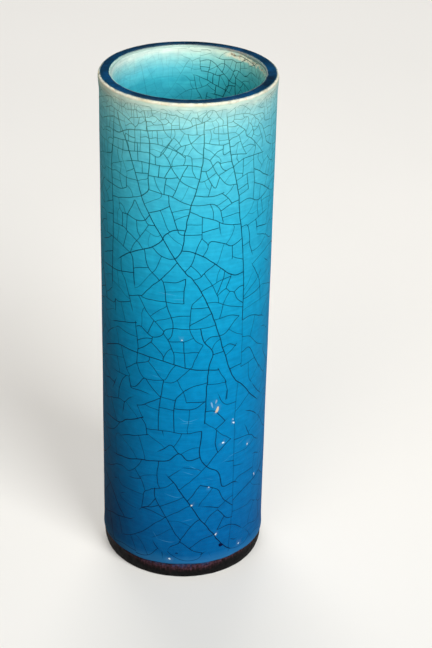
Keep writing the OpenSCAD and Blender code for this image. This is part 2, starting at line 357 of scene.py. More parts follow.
    (-28.5, 41, -22, 43, -17, 45), (-35, 39, -32, 38.6, -30, 40.5, -23, 40.5, -12, 38.2),
    (-10.5, 17, -8.7, 19.7, -3, 22.5, 0, 26.5, 8, 35, 12, 37), (15, 34, 19, 38, 25, 41),
    (25, 41, 32, 35, 37, 34), (6, 21, 13, 24, 21, 26), (-3, 24, 7, 18, 15, 14), (25, 29, 37, 29, 49, 22),
    (-34, 62, -30.3, 57.5, -29.5, 53), (-43.5, 56.5, -37, 57, -30.5, 58), (-51, 42.4, -48, 44, -43, 45.7),
    (-60, 48.6, -55, 50.7, -51, 51.2), (-22, 24, -20, 20, -14.5, 16), (-15, 90, -13.3, 85.5),
    (22, 90, 27, 92.4, 32, 95.5), (25, 42.4, 30, 44.7, 34.7, 46.5, 37, 46.7), (24, 28, 28, 33, 31, 36),
    (28, 70, 36, 68), (57, 37, 61, 35, 66, 33.4), (46, 46, 51.5, 43), (38, 20, 41, 18.5, 45, 20),
    (55, 66, 61, 64.7, 68, 61.7), (14, 16, 19, 17.4),
)

# Long cracks at the sides and the back: where each starts, in degrees and mm, its heading and its length
BACK_CRACKS = (
    (110, 258, -95, 260), (150, 255, -60, 180), (195, 250, -110, 260), (240, 258, -80, 250),
    (270, 250, -105, 240), (75, 180, -20, 130), (100, 120, 15, 150), (85, 60, 30, 170),
    (160, 150, -160, 120), (180, 95, -15, 150), (280, 205, -170, 120), (225, 200, 20, 110),
    (215, 60, -25, 120), (130, 215, 8, 120), (265, 90, 165, 110),
)

# Long cracks down the inside: first and last place and the turn between, how far each strays and leans in
# degrees, how far below the glaze's top it starts, and how long it may run
DOWN_ANGLES = 215, 426, 42
DOWN_STRAY = 10
DOWN_LEAN = 25
DOWN_START = 3
DOWN_LENGTH = 260

# Cracks that show inside the mouth, in the same way as at the front
INNER_CRACKS = (
    (171.3, 255.5, 166, 255.7, 162.5, 255.7, 159.4, 254.6, 156, 252.5, 153, 250.5, 150, 249, 147, 247.3,
     146.9, 244.8, 148, 243, 150, 240.7, 152, 236.6, 153, 226, 150, 214),
    (161.6, 258.5, 157, 257.5, 152.5, 257.1, 147.5, 257.5, 143.7, 258, 140, 257.1, 136, 257.8, 130, 259),
    (178, 249.8, 177, 248, 173, 247, 169.4, 246.2, 165, 245.3, 160.6, 243.9, 156, 243, 149, 241.8),
    (150, 254.6, 146, 253.5, 142.5, 252.3, 140, 253.2, 136, 252.8, 130.6, 251.9),
    (140.6, 257.1, 141, 253.9, 142.5, 252.1, 143.8, 249.4, 146.3, 246.6),
    (170, 249.8, 166, 249.8, 163, 249.4, 160, 248.9, 156, 248.5, 152, 249.8),
    (150, 257.1, 151, 254, 153, 250.5), (163, 255.3, 163.4, 252, 164.4, 249.4, 165.3, 245.3),
    (171.3, 254.8, 170.9, 252, 170, 249.8), (160, 248.9, 160.6, 245.7, 161.3, 243.5),
    (155, 248.5, 155.6, 245.3, 156.3, 243), (140, 249.4, 135.6, 248.5, 130.6, 247.5, 127, 246.2, 120, 243),
    (143, 251, 140.3, 249.4, 140.3, 246.6, 140.6, 243.5, 139, 236),
    (147.2, 247.1, 143.8, 246.2, 140.3, 246.4),
    (130.6, 251.6, 127.5, 252.5, 125, 254.4, 121.9, 255, 118, 254.6, 112, 254),
    (128.4, 256.2, 126.3, 257.5, 122.5, 258.7, 119.4, 259.4), (130, 250.7, 126.9, 251.9, 123.8, 251.6),
    (165, 238.9, 161.9, 238.5, 158.8, 238.5, 152, 238.3), (158, 243.2, 158.5, 241.2, 158.8, 238),
    (175.6, 247.6, 175, 244.8, 174, 241.6, 173, 239.4, 170.6, 237.1, 168, 232), (163, 252.5, 169.4, 252),
    (151, 241, 149, 243.5, 145, 244.8, 140.5, 245), (184.4, 249.8, 183, 252, 180, 255, 177, 257),
    (188, 248.5, 182, 246.6, 178.8, 244.8, 175, 244.6), (136, 257.8, 135.5, 255, 136, 252.8),
    (150, 261, 143, 260.2, 136, 260.7, 128, 260.2, 118, 259),
)

# Fine pale scratches in the outer glaze, in the same way
SCRATCHES = (
    (-5, 99, 2, 96, 11, 98), (-3, 96, 2, 96, 4, 93), (-4, 94.5, 1, 95, 8, 95), (-14, 53, -5, 51, 0, 52),
    (-19, 24, -9, 23, -4, 24), (-22, 29, -17, 23), (30, 71, 42, 73), (38, 76, 48, 79), (2, 71, 13, 66),
    (-2, 67, 9, 64), (26, 69, 34, 71), (-20, 167, -4, 166), (-10, 164, 2, 164), (-24, 121, -15, 120),
    (-22, 124, -14, 124), (-29, 128, -24, 127), (8, 143, 14, 146), (40, 146, 48, 149), (-33, 140, -27, 141),
    (-2, 36, 9, 38), (15, 62, 22, 60), (118, 74, 130, 71), (186, 120, 199, 124), (-100, 52, -88, 56),
)

# Chips and pits in the outer glaze: degrees, height, half width, half height, how far it leans, and what
# shows in it, from 0 for a dark pit through pale blue and tan to 1 for white. The small white ones are partly
# painted highlights, glints.
CHIPS = (
    (19, 104.5, 0.45, 2.1, -0.3, 0.25),
    (22, 106, 0.4, 1.2, 0.35, 0.3),
    (22.9, 101.3, 0.9, 1.9, 0.4, 0.62),
    (36, 91, 0.75, 0.5, -0.6, 1.0),
    (35.5, 93, 0.3, 0.3, 0, 0.9),
    (28, 81, 0.75, 0.55, 0.4, 1.0),
    (50, 74, 0.45, 0.6, 0, 0.9),
    (60, 52, 0.4, 0.9, 0, 0.85),
    (6, 46, 0.5, 0.5, 0, 0.85),
    (24, 26, 0.45, 0.6, 0.3, 0.9),
    (-9, 12.5, 0.7, 0.5, 0, 1.0),
    (44, 14.5, 0.5, 0.5, 0, 1.0),
    (18, 56, 0.35, 0.35, 0, 0.9),
    (-2, 142, 0.35, 0.35, 0, 0.95),
    (28, 18.3, 1.4, 1.2, 0, 0.0),
    (-4, 16.2, 0.8, 0.45, 0, 0.03),
    (152, 88, 0.7, 0.6, 0.3, 0.8),
    (-118, 31, 0.6, 0.5, 0, 0.9),
    (201, 63, 0.5, 0.4, 0, 0.95),
    (128, 17, 0.8, 0.8, 0, 0.0),
)

# Colours up a glaze and in its cracks, as (share of its height, sRGB colour)
OUTER_COLOURS = (
    # The lowest stop, lighter than the next, is a painted highlight along the roll at the glaze's lower edge.
    (0.0, (22, 116, 168)), (0.02, (8, 106, 168)), (0.08, (6, 112, 176)), (0.2, (6, 131, 194)),
    (0.38, (8, 146, 203)), (0.52, (12, 157, 207)), (0.64, (26, 175, 217)), (0.77, (52, 191, 222)),
    (0.88, (84, 204, 224)), (0.945, (120, 216, 226)), (0.975, (156, 226, 226)), (0.99, (178, 230, 224)),
    (1.0, (210, 230, 214)),
)
OUTER_CRACK_COLOURS = (
    (0.0, (4, 30, 62)), (0.4, (4, 42, 72)), (0.75, (6, 64, 84)), (0.92, (40, 110, 114)),
    (1.0, (104, 146, 132)),
)
# A painted highlight: a lighter blue along the roll at the outer glaze's lower edge.
OUTER_ROLL_HIGHLIGHT = 44, 118, 172
INNER_COLOURS = (
    (0.0, (34, 100, 116)), (0.6, (38, 128, 144)), (0.89, (40, 138, 154)), (0.94, (60, 172, 187)),
    (0.965, (102, 200, 210)), (0.982, (146, 214, 213)), (0.992, (182, 225, 217)), (1.0, (222, 236, 222)),
)
INNER_CRACK_COLOURS = (0.0, (10, 40, 52)), (0.9, (4, 48, 58)), (1.0, (40, 90, 84))
WARM_TINT = 252, 255, 244
WHITE = 255, 255, 255

# What shows in a chip or a pit, and in a scratch. The bluish white at the top stands in partly for glints on
# the small chips, a painted highlight.
CHIP_AND_GLINT_COLOURS = (
    (0.0, (6, 22, 62)), (0.1, (10, 52, 100)), (0.25, (124, 174, 210)), (0.5, (208, 168, 124)),
    (0.7, (240, 228, 206)), (1.0, (228, 246, 250)),
)
SCRATCH_COLOUR = 96, 182, 226

# Colours of the streak inside the lip, the clay, the band and the wash
CREAM_COLOURS = (0.35, (214, 220, 198)), (0.6, (248, 242, 214))
RUST = 158, 98, 52
CLAY_COLOURS = (0.3, (212, 202, 168)), (0.5, (220, 216, 194)), (0.7, (226, 226, 212))
CLAY_SPECK = 214, 164, 126
CLAY_FILM = 182, 212, 198
CLAY_STAIN = 136, 84, 44
# Painted light and shade: the inner edge of the lip runs from paler on the left to darker on the right, and
# the blue run on it is paler at the far left.
INNER_EDGE_LIT_TO_SHADED = (0.5, (168, 198, 188)), (0.9, (110, 144, 140))
BLEED_LEFT_PAINTED_LIGHT = 122, 162, 160
BLEED_INSIDE = 40, 78, 90
BLEED_OUTSIDE = 44, 80, 92
BAND_COLOURS = (0.36, (1, 24, 42)), (0.5, (1, 40, 65)), (0.66, (2, 56, 94))
BAND_THIN = 14, 70, 88
# The near-black at the bottom of the wash is painted shade under the tucked foot.
WASH_AND_SHADE_COLOURS = (
    (0.42, (9, 7, 8)), (0.56, (40, 25, 27)), (0.74, (84, 52, 60)), (0.9, (78, 60, 82)),
    (1.0, (66, 76, 114)),
)

# The streak inside the lip: where it starts, swells and ends in degrees, its half width, and how far below
# the glaze's top it lies
STREAK_START = 94, 102
STREAK_SWELL = 108, 130
STREAK_END = 147, 153
STREAK_HALF = 0.55, 1.7
STREAK_DROP = 1.9

# The stain on the clay inside the lip: its place in degrees, and how far from there it fades
STAIN_ANGLE = 139
STAIN_FADE = 7, 15

# The floor, where it fades into the surround in metres, and how bright both are
FLOOR_R = 4000.0
FLOOR_SIDES = 96
FLOOR_FADE = 0.5, 2.4
FLOOR_COLOURS = (0.3, (192, 188, 182)), (0.7, (196, 192, 186))
FLOOR_FAR = 50, 50, 50
FLOOR_UNSEEN = 56, 55, 54
FLOOR_GLOW = 240, 238, 234
FLOOR_GLOW_RANGE = 0.34, 0.84
SURROUND_COLOUR = 232, 230, 226
SURROUND_RANGE = 0.02, 0.95

# The camera: its place in metres, its angles in degrees and its lens
CAMERA_PLACE = 0, -0.7513, 0.5396
CAMERA_PITCH = 28.70
CAMERA_YAW = 1.184
CAMERA_ROLL = 1.322
CAMERA_LENS = 94.23
CAMERA_SENSOR = 36


def unrolled(route, radius):
    """A route of degrees and mm by turns, as places on the unrolled sheet."""
    return [(math.radians(angle) * radius, z) for angle, z in zip(route[::2], route[1::2])]


def along(points):
    """Points about every CRACK_STEP mm on a smooth curve through the given points."""
    points = [np.array(p, float) for p in points]
    ends = [2 * points[0] - points[1], *points, 2 * points[-1] - points[-2]]
    curve = []
    for a, b, c, d in zip(ends, ends[1:], ends[2:], ends[3:]):
        count = max(1, round(np.linalg.norm(c - b) / CRACK_STEP))
        for t in np.arange(count) / count:
            bend = (c - a) * t + (2 * a - 5 * b + 4 * c - d) * t**2 + (3 * b - a - 3 * c + d) * t**3
            curve.append(b + bend / 2)
    curve.append(points[-1])
    return np.array(curve)


def sideways(points):
    """Unit vectors square to a line of points."""
    run = np.gradient(points, axis=0)
    run /= np.linalg.norm(run, axis=1)[:, None] + TINY
    return np.stack([-run[:, 1], run[:, 0]], axis=1)


def joined(routes, radius):
    """Routes as smooth lines on the sheet, each with which ends are free. An end near another route moves
    onto it."""
    rough = [unrolled(route, radius) for route in routes]
    lines = [along(corners) for corners in rough]
    done = []
    for k, corners in enumerate(rough):
        others = np.concatenate(lines[:k] + lines[k + 1 :])
        free = []
        for end in (0, -1):
            gaps = np.linalg.norm(others - corners[end], axis=1)
            free.append(gaps.min() > SNAP)
            if not free[-1]:
                corners[end] = tuple(others[gaps.argmin()])
        done.append((along(corners), free))
    return done


class Crackle:
    """Cracks in a sheet of glaze, unrolled: x runs round the wall and meets itself, z runs up the wall."""

    def __init__(self, radius, low, high, cells, stain, seed):
        self.radius = radius
        self.round = 2 * math.pi * radius
        self.low = low
        self.high = high
        self.stain = stain
        self.random = np.random.default_rng(seed)
        self.lines = []
        self.scratches = []
        self.across = round(self.round)
        self.up = round(high - low)
        self.pitch_x = self.round / self.across
        self.pitch_z = (high - low) / self.up
        heights = low + (np.arange(self.up) + 0.5) * self.pitch_z
        self.wanted = np.interp(heights, *cells)[:, None]
        self.gap = np.full((self.up, self.across), FAR)
        self.near = np.zeros((self.up, self.across, 2))

    def nearest(self, point):
        """The nearest crack point that is marked, and how far away it is."""
        row = min(max(int((point[1] - self.low) / self.pitch_z), 0), self.up - 1)
        column = int(point[0] // self.pitch_x) % self.across
        if self.gap[row, column] == FAR:
            return point, FAR
        off = self.near[row, column] - point
        off[0] -= self.round * round(off[0] / self.round)
        return point + off, np.hypot(*off)

    def mark(self, points):
        """Notes on a grid of about 1 mm how near the new crack is."""
        for x, z in points:
            row = int((z - self.low) / self.pitch_z)
            column = int(x // self.pitch_x)
            rows = np.arange(max(0, row - MARK_REACH), min(self.up, row + MARK_REACH + 1))
            columns = np.arange(column - MARK_REACH, column + MARK_REACH + 1)
            up = self.low + (rows + 0.5) * self.pitch_z - z
            across = (columns + 0.5) * self.pitch_x - x
            gap = np.hypot(up[:, None], across[None, :])
            block = np.ix_(rows, columns % self.across)
            nearer = gap < self.gap[block]
            self.gap[block] = np.where(nearer, gap, self.gap[block])
            self.near[block] = np.where(nearer[..., None], (x, z), self.near[block])

    def add(self, points, width, dark, free=None):
        """Keeps a crack that is at least two points long. A free end of it runs out thin and pale."""
        if free is None:
            free = [self.nearest(points[end])[1] > CRACK_STEP for end in (0, -1)]
        z = points[:, 1]
        points = points[(z > self.low + EDGE_CLEAR) & (z < self.high - EDGE_CLEAR)]
        moves = np.linalg.norm(np.diff(points, axis=0, prepend=-FAR), axis=1)
        points = points[moves > MIN_MOVE]
        if len(points) < 2:
            return
        lip = self.high - LIP_THIN_FROM, self.high - LIP_THIN_TO
        half = width / 2 * np.interp(points[:, 1], lip, (1, LIP_SHARE))
        shade = dark * np.interp(np.degrees(points[:, 0] / self.radius) % 360, *self.stain)
        for loose, order in zip(free, (1, -1)):
            if loose:
                half[::order][:TAPER] *= np.linspace(TIP_SHARE, 1, TAPER)[: len(points)]
                shade[::order][:TAPER] *= np.linspace(0, 1, TAPER)[: len(points)]
        self.lines.append((points, half, shade))
        self.mark(points)

    def follow(self, points, free, width, dark):
        """Adds a crack along a line of points, a little unsteady."""
        rough = self.random.normal(size=len(points) + len(SHAKE_BLUR) - 1)
        shake = np.convolve(rough, SHAKE_BLUR, "valid")
        shake[[0, -1]] = 0
        self.add(points + sideways(points) * shake[:, None] * SHAKE, width, dark, free)

    def scratch(self, route):
        """Adds a fine pale scratch along a route, which runs out at both ends."""
        points = along(unrolled(route, self.radius))
        order = np.arange(len(points))
        shade = ease(np.minimum(order, order[::-1]) / TAPER)
        self.scratches.append((points, np.full(len(points), SCRATCH / 2), shade))

    def wander(self, angle, z, heading, length):
        """Adds a long crack from a place, which sways about its heading and ends where it meets another."""
        dark = self.random.uniform(*LONG_DARK)
        point = np.array([math.radians(angle) * self.radius, z])
        turn = 0
        sway = 0
        path = [point]
        for i in range(int(length / CRACK_STEP)):
            turn = SWAY_KEPT * turn + self.random.normal(0, SWAY_NOISE) - SWAY_BACK * sway
            sway += turn
            way = math.radians(heading) + sway
            point = point + CRACK_STEP * np.array([math.cos(way), math.sin(way)])
            met, gap = self.nearest(point)
            if i > LONG_LEAVE and gap < CLEAR:
                path.append(met)
                break
            path.append(point)
        self.add(np.array(path), WIDE_CRACK, dark)

    def split(self, start, through):
        """Points of a crack that leaves an old one squarely, crosses the cell and lands on the far side."""
        way = through - start
        way = way / (np.hypot(*way) + TINY)
        turn = self.random.normal(0, SPLIT_START)
        path = [start]
        point = start
        last = 0
        for i in range(1, SPLIT_STEPS):
            met, gap = self.nearest(point + way * CRACK_STEP)
            if i > SPLIT_LEAVE and gap < LAND * CRACK_STEP:
                path.append(met)
                break
            if i > PULL_LEAVE and gap < PULL_REACH and gap < last:
                way = way + PULL * (met - point) / gap
            turn = SPLIT_KEPT * turn + self.random.normal(0, SPLIT_NOISE)
            way = np.array([way[0] - turn * way[1], way[1] + turn * way[0]])
            way = way / np.hypot(*way)
            point = point + way * CRACK_STEP
            last = gap
            if not self.low < point[1] < self.high:
                break
            path.append(point)
        return np.array(path)

    def fill(self):
        """Splits the widest cells until each is about as small as it should be at its height."""
        uneven = self.random.uniform(*CELL_SPREAD, self.gap.shape)
        for _ in range(MOST_SPLITS):
            room = np.where(self.gap == FAR, 0, self.gap * uneven / self.wanted)
            row, column = np.unravel_index(np.argmax(room), room.shape)
            if room[row, column] < SMALL_ENOUGH:
                break
            centre = np.array([(column + 0.5) * self.pitch_x, self.low + (row + 0.5) * self.pitch_z])
            start, gap = self.nearest(centre)
            path = self.split(start, centre)
            before = len(self.lines)
            width = GROWN_CRACK * self.random.uniform(*WIDTH_SPREAD)
            self.add(path, width, self.random.uniform(*GROWN_DARK))
            if len(self.lines) == before or self.gap[row, column] > LEAST_GAIN * gap:
                uneven[row, column] = 0

    def copies(self, lines):
        """Every line as (points, half widths, darkness), and again over the seam where it comes near it."""
        limit = self.round / 2 + SEAM_REACH
        for points, half, dark in lines:
            for shift in (-self.round, 0, self.round):
                moved = points + (shift, 0)
                if moved[:, 0].max() > -limit and moved[:, 0].min() < limit:
                    yield moved, half, dark


def ripple(angle, *waves, base=0):
    """The sum of a base and of waves round the wall, each given as (height, count, phase)."""
    for height, count, phase in waves:
        base = base + height * np.sin(count * angle + phase)
    return base


def chip_edge(angle, seed):
    """How far an uneven chip reaches in a direction, beside its plain ellipse."""
    return ripple(angle, (0.16, 2, seed), (0.12, 3, 2.3 * seed), base=1)


def chip_x(angle, radius):
    """A chip's place across the unrolled sheet."""
    return math.radians((angle + 180) % 360 - 180) * radius


def tip(end, before, out):
    """The point at which a line of half width out ends, a little past its last place."""
    return end + (end - before) / np.linalg.norm(end - before) * out


def sheet_mesh(net, chips):
    """An unrolled sheet with every line and chip cut in: corners, triangles and values at the corners."""
    half = net.round / 2
    places = []
    edges = []

    def chain(line, closed=False):
        first = len(places)
        places.extend(Vector(p) for p in line)
        edges.extend((first + i, first + i + 1) for i in range(len(line) - 1))
        if closed:
            edges.append((first + len(line) - 1, first))

    columns = np.linspace(-half, half, COLUMNS + 1)
    rows = np.linspace(net.low, net.high, round((net.high - net.low) / ROW_H) + 1)
    for z in (net.low, net.high):
        chain([(x, z) for x in columns])
    for x in (-half, half):
        chain([(x, z) for z in rows])
    for z in rows[1:-1]:
        for x in columns[2:-2:2]:
            if net.nearest(np.array([x, z]))[1] > CLEAR:
                places.append(Vector((x, z)))

    tracks = list(net.copies(net.lines))
    marks = list(net.copies(net.scratches))
    for points, halves, _ in tracks + marks:
        side = sideways(points) * halves[:, None]
        last = tip(points[-1], points[-2], halves[-1])
        first = tip(points[0], points[1], halves[0])
        chain([*(points + side), last, *(points - side)[::-1], first], True)
        chain(points)
    turns = np.linspace(0, 2 * math.pi, CHIP_SIDES, endpoint=False)
    for angle, z, wide, high, lean, _ in chips:
        x = chip_x(angle, net.radius)
        for size in (1, CHIP_CORE):
            out = size * chip_edge(turns, angle)
            rise = high * out * np.sin(turns)
            chain(np.stack([x + lean * rise + wide * out * np.cos(turns), z + rise], 1), True)

    corners, _, faces, _, _, _ = delaunay_2d_cdt(places, edges, [], 0, MERGE)
    corners = np.array([tuple(c) for c in corners])
    faces = np.array([f for f in faces if len(f) == 3])
    middle = corners[faces].mean(axis=1)
    inside = (abs(middle[:, 0]) < half) & (middle[:, 1] > net.low) & (middle[:, 1] < net.high)
    used, faces = np.unique(faces[inside], return_inverse=True)
    corners = corners[used]
    values = {"crack": line_values(corners, tracks), "scratch": line_values(corners, marks)}
    values["chip"], values["white"] = chip_values(corners, chips, net.radius)
    return corners, faces.reshape(-1, 3), values


def line_values(corners, tracks):
    """How deep in a line each corner lies: 0 at its edge and outside, up to its darkness along its middle."""
    if not tracks:
        return np.zeros(len(corners))
    spots, halves, darks = (np.concatenate(parts) for parts in zip(*tracks))
    follows = np.concatenate([np.arange(len(points)) < len(points) - 1 for points, _, _ in tracks])
    tree = KDTree(len(spots))
    for i, (x, z) in enumerate(spots):
        tree.insert((x, z, 0), i)
    tree.balance()
    at = []
    piece = []
    for k, (x, z) in enumerate(corners):
        for _, i, _ in tree.find_range((x, z, 0), LINE_REACH * CRACK_STEP):
            at += [k, k]
            piece += [i, max(i - 1, 0)]
    at = np.array(at)
    piece = np.array(piece)
    real = follows[piece]
    at = at[real]
    piece = piece[real]
    start = spots[piece]
    run = spots[piece + 1] - start
    off = corners[at] - start
    t = np.clip((off * run).sum(1) / ((run * run).sum(1) + TINY_SQUARE), 0, 1)
    gap = np.linalg.norm(off - run * t[:, None], axis=1)
    half = halves[piece] * (1 - t) + halves[piece + 1] * t
    dark = darks[piece] * (1 - t) + darks[piece + 1] * t
    depth = np.clip(LINE_MIDDLE - gap / half, 0, 1) * dark
    values = np.zeros(len(corners))
    np.maximum.at(values, at, depth)
    return np.where(values < FAINT, 0, values)


def chip_values(corners, chips, radius):
    """How deep in a chip each corner lies, and how white the chip is."""
    depth = np.zeros(len(corners))
    white = np.zeros(len(corners))
    for angle, z, wide, high, lean, pale in chips:
        across = (corners[:, 0] - chip_x(angle, radius) - lean * (corners[:, 1] - z)) / wide
        up = (corners[:, 1] - z) / high
        out = np.hypot(across, up) / chip_edge(np.arctan2(up, across), angle)
        here = np.clip((CHIP_RIM - out) / CHIP_SLOPE, 0, 1)
        white = np.where(here > 0, pale, white)
        depth = np.maximum(depth, here)
    return depth, white


def new_object(name, vertices, faces, normals=None):
    """A smooth mesh object from vertices in mm. A zero normal leaves the vertex to Blender."""
    mesh = bpy.data.meshes.new(name)
    mesh.from_pydata([tuple(v) for v in np.asarray(vertices) * MM], [], faces)
    mesh.update()
    mesh.shade_smooth()
    if normals is None:
        mesh.set_sharp_from_angle(angle=math.radians(SHARP_ANGLE))
    else:
        mesh.normals_split_custom_set_from_vertices([tuple(n) for n in normals])
    piece = bpy.data.objects.new(name, mesh)
    bpy.context.scene.collection.objects.link(piece)
    return piece


def keep_values(piece, label, values):
    """Stores a value at each vertex, for the finish."""
    piece.data.attributes.new(label, "FLOAT", "POINT").data.foreach_set("value", values)


def at_angle(radius, angle, z):
    """Places at a radius, an angle and a height."""
    radius, angle, z = np.broadcast_arrays(radius, angle, z)
    return np.stack([radius * np.sin(angle), -radius * np.cos(angle), z], axis=-1)


def seam_weld(x, z, half):
    """For each corner the one that stands for it, so that the sheet's two sides meet corner to corner."""
    left = np.flatnonzero(abs(x + half) < SEAM_TOUCH)
    right = np.flatnonzero(abs(x - half) < SEAM_TOUCH)
    apart = abs(z[left][:, None] - z[right])
    nearest = enumerate(apart.argmin(1))
    pairs = [i for i, k in nearest if apart[:, k].argmin() == i and apart[i, k] < SEAM_PAIR]
    shared = left[pairs]
    weld = np.arange(len(x))
    for side in (left, right):
        weld[side] = shared[abs(z[side][:, None] - z[shared]).argmin(1)]
    return weld


def coat(name, net, radius_at, back, chips=(), inward=False, wave=None):
    """A closed coat of glaze: the cracked sheet and, behind it, rings of (radius, z, share of the wave)."""
    corners, faces, values = sheet_mesh(net, chips)
    crack = values["crack"]
    facing = -1 if inward else 1

    def spot(x, z):
        angle = x / net.radius
        lift = wave(angle) * np.clip(1 - (z - net.low) / WAVE_H, 0, 1) ** 2 if wave else 0
        return at_angle(radius_at(angle, z), angle, z + lift)

    step = 0.05
    x, z = corners.T
    round_way = spot(x + step, z) - spot(x - step, z)
    up_way = spot(x, np.minimum(z + step, net.high)) - spot(x, np.maximum(z - step, net.low))
    normals = facing * np.cross(round_way, up_way)
    normals /= np.linalg.norm(normals, axis=1)[:, None]
    vertices = spot(x, z) - normals * (CRACK_DEPTH * crack + CHIP_DEPTH * values["chip"])[:, None]

    weld = seam_weld(x, z, net.round / 2)
    v = SHEET_V + SHEET_V_SPAN * (z - net.low) / (net.high - net.low)
    corner_uv = np.stack([(x / net.round + 0.5) * SHEET_U, v], 1)
    crack_uv = np.stack([CRACK_U + CRACK_U_SPAN * crack, v], 1)
    in_crack = crack[faces].max(axis=1) > 0
    uv = np.where(in_crack[:, None, None], crack_uv[faces], corner_uv[faces])
    triangles = weld[faces][:, ::facing]
    whole = (triangles != np.roll(triangles, 1, axis=1)).all(axis=1)
    polygons = [tuple(t) for t in triangles[whole]]
    uv = list(uv[whole][:, ::facing].reshape(-1, 2))

    edge_rings = []
    for level in (net.low, net.high):
        ring = np.flatnonzero(abs(z - level) < ON_EDGE)
        edge_rings.append(weld[ring[np.argsort(x[ring])][:-1]])
    angles = x[edge_rings[0]] / net.radius
    extra = []
    rings = [(edge_rings[0], SHEET_V)]
    count = len(corners)
    for number, (radius, level, share) in enumerate(back):
        lift = share * wave(angles) if wave else 0
        spots = at_angle(radius, angles, level + lift)
        if radius == 0:
            spots = spots[:1]
        ids = count + np.arange(len(spots))
        rings.append((np.resize(ids, COLUMNS), number / len(back)))
        count += len(spots)
        extra.append(spots)
    rings.append((edge_rings[1], 1))
    near, far = BACK_U
    for (upper, v_upper), (lower, v_lower) in zip(rings, rings[1:]):
        flat = [(near, v_lower), (far, v_lower), (far, v_upper), (near, v_upper)][::facing]
        for i in range(COLUMNS):
            j = (i + 1) % COLUMNS
            face = [lower[i], lower[j], upper[j], upper[i]][::facing]
            kept = [k for k in range(4) if face[k] not in face[:k]]
            if len(kept) > 2:
                polygons.append(tuple(face[k] for k in kept))
                uv.extend(flat[k] for k in kept)
    vertices = np.concatenate([vertices, *extra])
    normals = np.concatenate([normals, np.zeros((count - len(corners), 3))])

    used, order = np.unique(np.concatenate([np.array(p) for p in polygons]), return_inverse=True)
    sizes = np.cumsum([len(p) for p in polygons])[:-1]
    polygons = [tuple(int(i) for i in p) for p in np.split(order, sizes)]
    piece = new_object(name, vertices[used], polygons, normals[used])
    layer = piece.data.uv_layers.new(name="OFBake")
    layer.data.foreach_set("uv", np.array(uv).ravel())
    for label, parts in values.items():
        keep_values(piece, label, np.concatenate([parts, np.zeros(count - len(corners))])[used])
    return piece


def turned(name, outline, segments=COLUMNS, shake=None):
    """A closed outline of (radius, z), turned about the axis. shake(angle, radius, z) moves it, in mm."""
    angles = np.linspace(0, 2 * math.pi, segments, endpoint=False)
    vertices = []
    faces = []
    size = len(outline)
    for i, angle in enumerate(angles):
        j = (i + 1) % segments
        for k, (radius, z) in enumerate(outline):
            n = (k + 1) % size
            out, lift = shake(angle, radius, z) if shake else (0, 0)
            vertices.append(at_angle(radius + out, angle, z + lift))
            faces.append((i * size + k, j * size + k, j * size + n, i * size + n))
    return new_object(name, np.array(vertices), faces)


def arc(centre, radius, start, end, steps=10):
    """Points on an arc, from one angle in degrees to another."""
    turns = np.radians(np.linspace(start, end, steps + 1))
    return [(centre[0] + radius * math.cos(t), centre[1] + radius * math.sin(t)) for t in turns]


def ease(t):
    """A soft step from 0 to 1."""
    return (1 - np.cos(math.pi * np.clip(t, 0, 1))) / 2


def soft_s(start, end, steps=8):
    """Points on a soft S between two places, upright at both ends."""
    return [
        (start[0] + (end[0] - start[0]) * float(ease(t)), start[1] + (end[1] - start[1]) * t)
        for t in np.linspace(0, 1, steps + 1)
    ]


# Unevenness left by the hand, in mm
def throwing(angle, z):
    """Slow rings and a slight oval in the wall."""
    rings = 0.03 * np.sin(z / 8.5 + 0.8 * np.sin(angle)) + 0.025 * np.sin(z / 21 + 2 * np.sin(angle + 1))
    return rings + ripple(angle, (0.05, 2, 0.7))


def glaze_wave(angle):
    """How far the lower edge of the outer glaze rises or runs down."""
    return ripple(angle, (0.22, 3, 0.4), (0.16, 7, 2), (0.1, 17, 1))


def lip_shake(angle, radius, z):
    """The lip isn't quite even."""
    if z < OUTER_TOP - 1:
        return 0, 0
    return ripple(angle, (0.05, 5, 1), (0.03, 11, 0)), ripple(angle, (0.06, 3, 2))


def band_shake(angle, radius, z):
    """The band's two edges wander, and it lies a little deeper in places."""
    out = ripple(angle, (0.14, 9, 1), (0.1, 23, 0), (0.07, 41, 2))
    into = ripple(angle, (0.12, 8, 4), (0.1, 19, 1), (0.07, 37, 0))
    share = (radius - BAND_IN_R) / (BAND_OUT_R - BAND_IN_R)
    return share * out - (1 - share) * into, lip_shake(angle, radius, z)[1]


def foot_shake(angle, radius, z):
    """The dry foot is rough."""
    if radius < CLAY_R - FOOT_TUCK / 2 and z < WASH_Z:
        return 0, 0
    return FOOT_ROUGH * ripple(angle, (1, 31, 2 * z), (1, 53, 1 - 3 * z), (1, 17, z)), 0


def outer_radius(angle, z):
    """Radius of the outer glaze, with its roll at the bottom and its flare at the lip."""
    roll = ROLL_T * (1 - ease((z - ROLL_TOP) / ROLL_H))
    flare = (GLAZE_LIP_R - BODY_R) * ease((z - OUTER_TOP + GLAZE_FADE) / GLAZE_FADE)
    steady = np.clip((OUTER_TOP - z) / GLAZE_FADE, 0, 1)
    return BODY_R + roll + flare + steady * throwing(angle, z)


def inner_radius(angle, z):
    """Radius of the inner glaze on the wall, which thins out below the lip and ends in a feather edge."""
    thin = (GLAZE_T - GLAZE_EDGE_T) * ease((z - INNER_TOP + GLAZE_FADE) / GLAZE_FADE)
    feather = (GLAZE_EDGE_T + FEATHER_SINK) * ease((z - INNER_TOP + FEATHER_H) / FEATHER_H)
    return INSIDE_R + thin + feather


